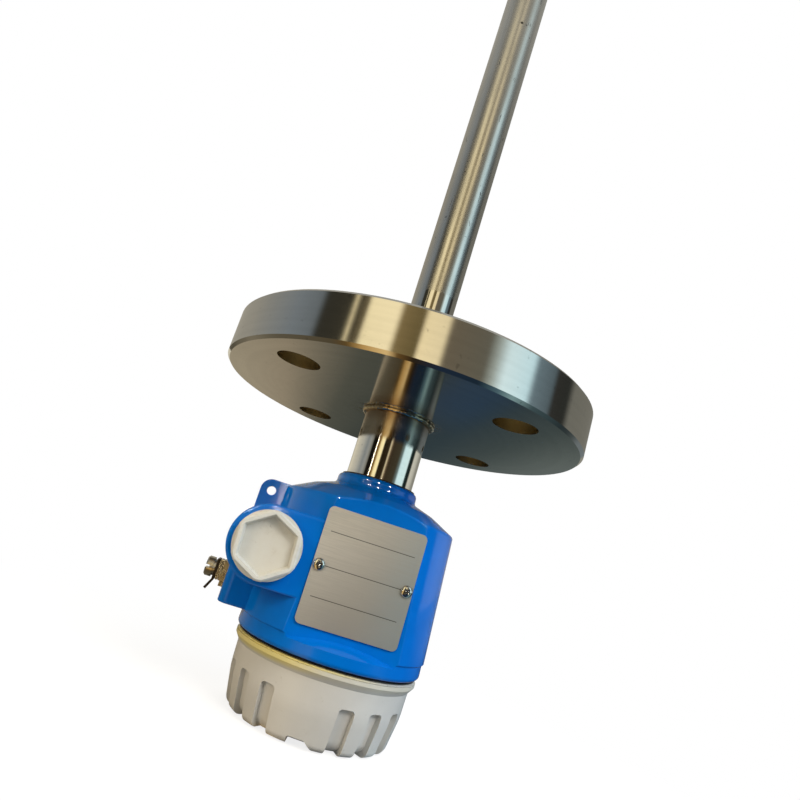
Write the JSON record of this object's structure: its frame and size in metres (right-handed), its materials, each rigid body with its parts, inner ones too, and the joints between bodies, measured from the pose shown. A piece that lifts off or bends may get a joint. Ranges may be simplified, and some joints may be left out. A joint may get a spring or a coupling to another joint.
{
  "type": "vibrating fork level switch",
  "caption": "Vibrating fork level switch with a flanged extension tube, a swivelling housing with a screw cover, a plugged cable entry and an outside ground terminal.",
  "frame": {"origin": "Centre of the flange's sealing face, on the axis of the extension tube.", "axes": "+Z runs along the extension tube from the sealing face towards the fork tips, -Y is the side the nameplate faces, and +X is to the right of somebody who looks at the nameplate with the fork upwards."},
  "size_m": [0.165, 0.165, 0.7052],
  "materials": {
    "flange": "turned stainless steel",
    "extension_tube": "satin stainless steel",
    "tube_weld": "weld bead",
    "fork_weld": "weld bead",
    "vibrating_fork": "finely ground stainless steel",
    "pressure_seat": "turned",
    "ceramic_end_discs": "ceramic",
    "piezo_discs": "ceramic",
    "electrode_discs": "thin sheet",
    "preload_screw": "turned",
    "signal_leads": "insulated leads",
    "feedthrough": "potted",
    "neck_tube": "polished stainless steel",
    "neck_weld": "weld bead with heat tint",
    "swivel_clip": "spring steel",
    "housing": "bright blue, glossy",
    "neck_seal": "black",
    "cover_seal": "black",
    "cover": "light grey, slightly yellowed at the rim",
    "nameplate": "brushed stainless sheet, bare",
    "nameplate_screws": "bright",
    "entry_seal": "black",
    "entry_plug": "white, slightly soiled",
    "ground_bushing": "turned",
    "ground_base_plate": "dark stamped plate",
    "ground_clamp_plates": "stamped plates, tarnished",
    "ground_tail_plate": "dark stamped plate",
    "ground_lock_washer": "spring steel",
    "ground_screw": "bright, slightly tarnished",
    "lead_connector": "black",
    "insert_lead": "black sheath",
    "electronic_insert": "grey moulded case",
    "insert_screws": "bright",
    "terminal_block": "green moulding",
    "terminal_clamps": "tinned cages",
    "terminal_screws": "bright",
    "safety_slider": "white",
    "density_slider": "white",
    "power_light": "green lens",
    "switch_light": "red lens",
    "inner_ground_bushing": "turned",
    "inner_ground_clamp": "stamped washer",
    "inner_ground_screw": "bright"
  },
  "bodies": {
    "probe": {"flange": "flange", "extension_tube": "extension_tube", "tube_weld": "tube_weld", "neck_tube": "neck_tube", "neck_weld": "neck_weld", "vibrating_fork": "vibrating_fork", "fork_weld": "fork_weld", "pressure_seat": "pressure_seat", "ceramic_end_discs": "ceramic_end_discs", "piezo_discs": "piezo_discs", "electrode_discs": "electrode_discs", "preload_screw": "preload_screw", "signal_leads": "signal_leads", "feedthrough": "feedthrough", "swivel_clip": "swivel_clip"},
    "housing": {"housing": "housing", "neck_seal": "neck_seal", "nameplate": "nameplate", "nameplate_screws": "nameplate_screws", "ground_bushing": "ground_bushing", "ground_base_plate": "ground_base_plate", "ground_clamp_plates": "ground_clamp_plates", "ground_tail_plate": "ground_tail_plate", "ground_lock_washer": "ground_lock_washer", "ground_screw": "ground_screw", "lead_connector": "lead_connector", "insert_lead": "insert_lead", "electronic_insert": "electronic_insert", "insert_screws": "insert_screws", "terminal_block": "terminal_block", "terminal_clamps": "terminal_clamps", "terminal_screws": "terminal_screws", "power_light": "power_light", "switch_light": "switch_light", "inner_ground_bushing": "inner_ground_bushing", "inner_ground_clamp": "inner_ground_clamp", "inner_ground_screw": "inner_ground_screw"},
    "cover_seal": {"cover_seal": "cover_seal"},
    "cover": {"cover": "cover"},
    "entry_seal": {"entry_seal": "entry_seal"},
    "entry_plug": {"entry_plug": "entry_plug"},
    "safety_slider": {"safety_slider": "safety_slider"},
    "density_slider": {"density_slider": "density_slider"}
  },
  "joints": [
    {"name": "housing_swivel", "type": "hinge", "parent": "probe", "child": "housing", "pos_m": [0, 0, -0.06], "axis": [0, 0, 1], "range_deg": [-175, 175]},
    {"name": "cover_turn", "type": "hinge", "parent": "housing", "child": "cover_seal", "pos_m": [0, 0, -0.13], "axis": [0, 0, -1], "range_deg": [0, 720]},
    {"name": "cover_travel", "type": "slide", "parent": "cover_seal", "child": "cover", "axis": [0, 0, -1], "range_m": [0, 0.008]},
    {"name": "plug_turn", "type": "hinge", "parent": "housing", "child": "entry_seal", "pos_m": [-0.0384, -0.034, -0.0911], "axis": [0, -1, 0], "range_deg": [0, 1440]},
    {"name": "plug_travel", "type": "slide", "parent": "entry_seal", "child": "entry_plug", "axis": [0, -1, 0], "range_m": [0, 0.006]},
    {"name": "safety_slider_move", "type": "slide", "parent": "housing", "child": "safety_slider", "axis": [1, 0, 0], "range_m": [0, 0.0025]},
    {"name": "density_slider_move", "type": "slide", "parent": "housing", "child": "density_slider", "axis": [1, 0, 0], "range_m": [0, 0.0025]}
  ],
  "couplings": [
    {"joint": "cover_turn", "follows": "cover_travel", "rad_per_m": 1570.7},
    {"joint": "plug_turn", "follows": "plug_travel", "rad_per_m": 4188.7}
  ]
}
